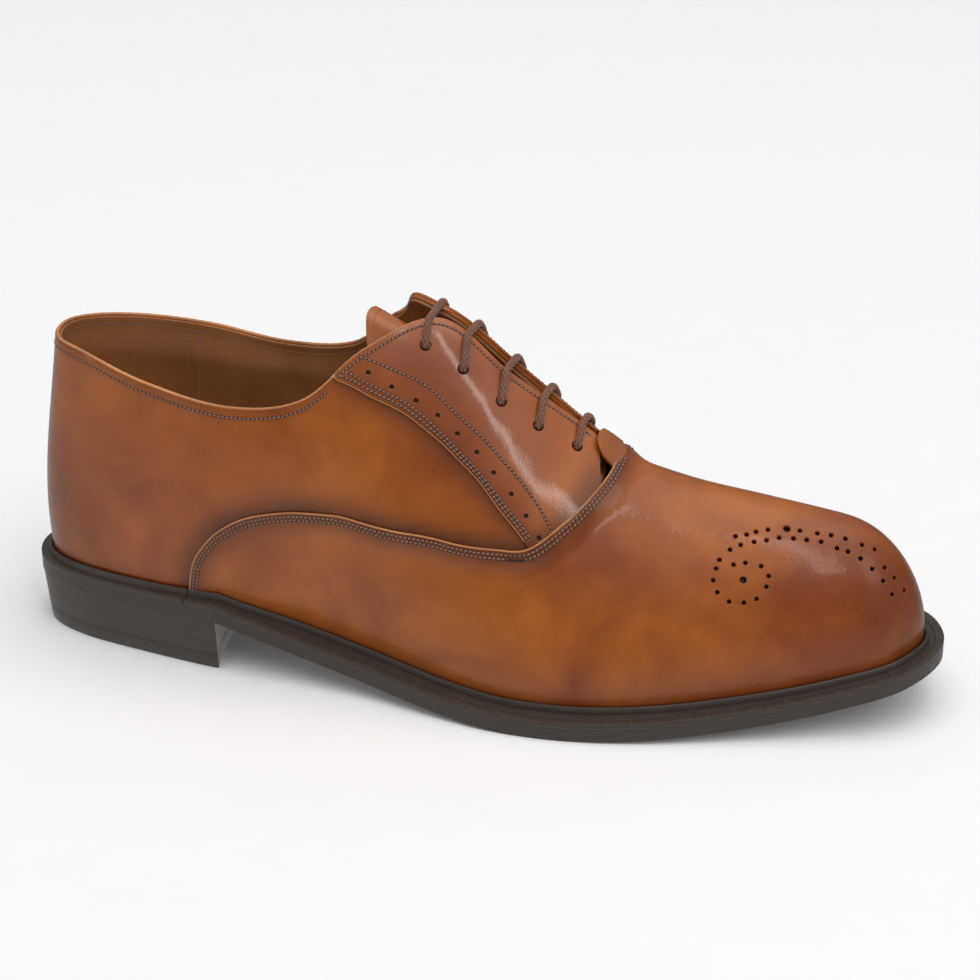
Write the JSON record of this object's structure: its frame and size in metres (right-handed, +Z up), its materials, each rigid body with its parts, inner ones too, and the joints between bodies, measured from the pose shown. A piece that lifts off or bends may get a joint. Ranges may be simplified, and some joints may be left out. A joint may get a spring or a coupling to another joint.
{
  "type": "leather oxford shoe",
  "caption": "Closed-lace leather oxford shoe for the right foot, with a welted sole, stacked heel, punched facings and a hinged tongue.",
  "frame": {"origin": "on the walking face of the heel, under the middle of the heel seat", "axes": "+X towards the toe, +Y towards the inner side of the foot, +Z up"},
  "size_m": [0.3, 0.0968, 0.1208],
  "materials": {
    "burnished_tan_calf": "glossy",
    "dark_brown_calf": "satin",
    "vegetable_tanned_lining": "matte",
    "blacked_edge_leather": "satin",
    "rubber_top_piece": "matte",
    "insole_leather": "matte",
    "leatherboard": "matte",
    "cork": "matte",
    "spring_steel": "satin",
    "steel_nail": "satin",
    "browned_brass_eyelet": "satin",
    "waxed_cotton_lace": "satin",
    "aglet_film": "glossy"
  },
  "bodies": {
    "shoe": {"outsole": "blacked_edge_leather", "welt": "blacked_edge_leather", "heel_rand": "blacked_edge_leather", "heel_lift_1": "blacked_edge_leather", "heel_lift_2": "blacked_edge_leather", "heel_lift_3": "blacked_edge_leather", "heel_top_piece": "rubber_top_piece", "heel_nail_1": "steel_nail", "heel_nail_2": "steel_nail", "heel_nail_3": "steel_nail", "heel_nail_4": "steel_nail", "shank": "spring_steel", "cork_filler": "cork", "insole": "insole_leather", "sock_liner": "vegetable_tanned_lining", "vamp": "burnished_tan_calf", "quarter_lateral": "burnished_tan_calf", "quarter_medial": "burnished_tan_calf", "facing_lateral": "burnished_tan_calf", "facing_medial": "burnished_tan_calf", "backstay": "dark_brown_calf", "topline_binding": "burnished_tan_calf", "throat_tab": "dark_brown_calf", "toe_puff": "leatherboard", "heel_counter": "leatherboard", "vamp_lining": "vegetable_tanned_lining", "quarter_lining_lateral": "vegetable_tanned_lining", "quarter_lining_medial": "vegetable_tanned_lining", "eyelet_lateral_1": "browned_brass_eyelet", "eyelet_lateral_2": "browned_brass_eyelet", "eyelet_lateral_3": "browned_brass_eyelet", "eyelet_lateral_4": "browned_brass_eyelet", "eyelet_lateral_5": "browned_brass_eyelet", "eyelet_medial_1": "browned_brass_eyelet", "eyelet_medial_2": "browned_brass_eyelet", "eyelet_medial_3": "browned_brass_eyelet", "eyelet_medial_4": "browned_brass_eyelet", "eyelet_medial_5": "browned_brass_eyelet", "lace": "waxed_cotton_lace", "aglet_1": "aglet_film", "aglet_2": "aglet_film"},
    "tongue": {"tongue": "burnished_tan_calf", "tongue_lining": "vegetable_tanned_lining"}
  },
  "joints": [
    {"name": "tongue_fold", "type": "hinge", "parent": "shoe", "child": "tongue", "pos_m": [0.1545, 0, 0.0685], "axis": [0, -1, 0], "range_deg": [0, 20]}
  ]
}
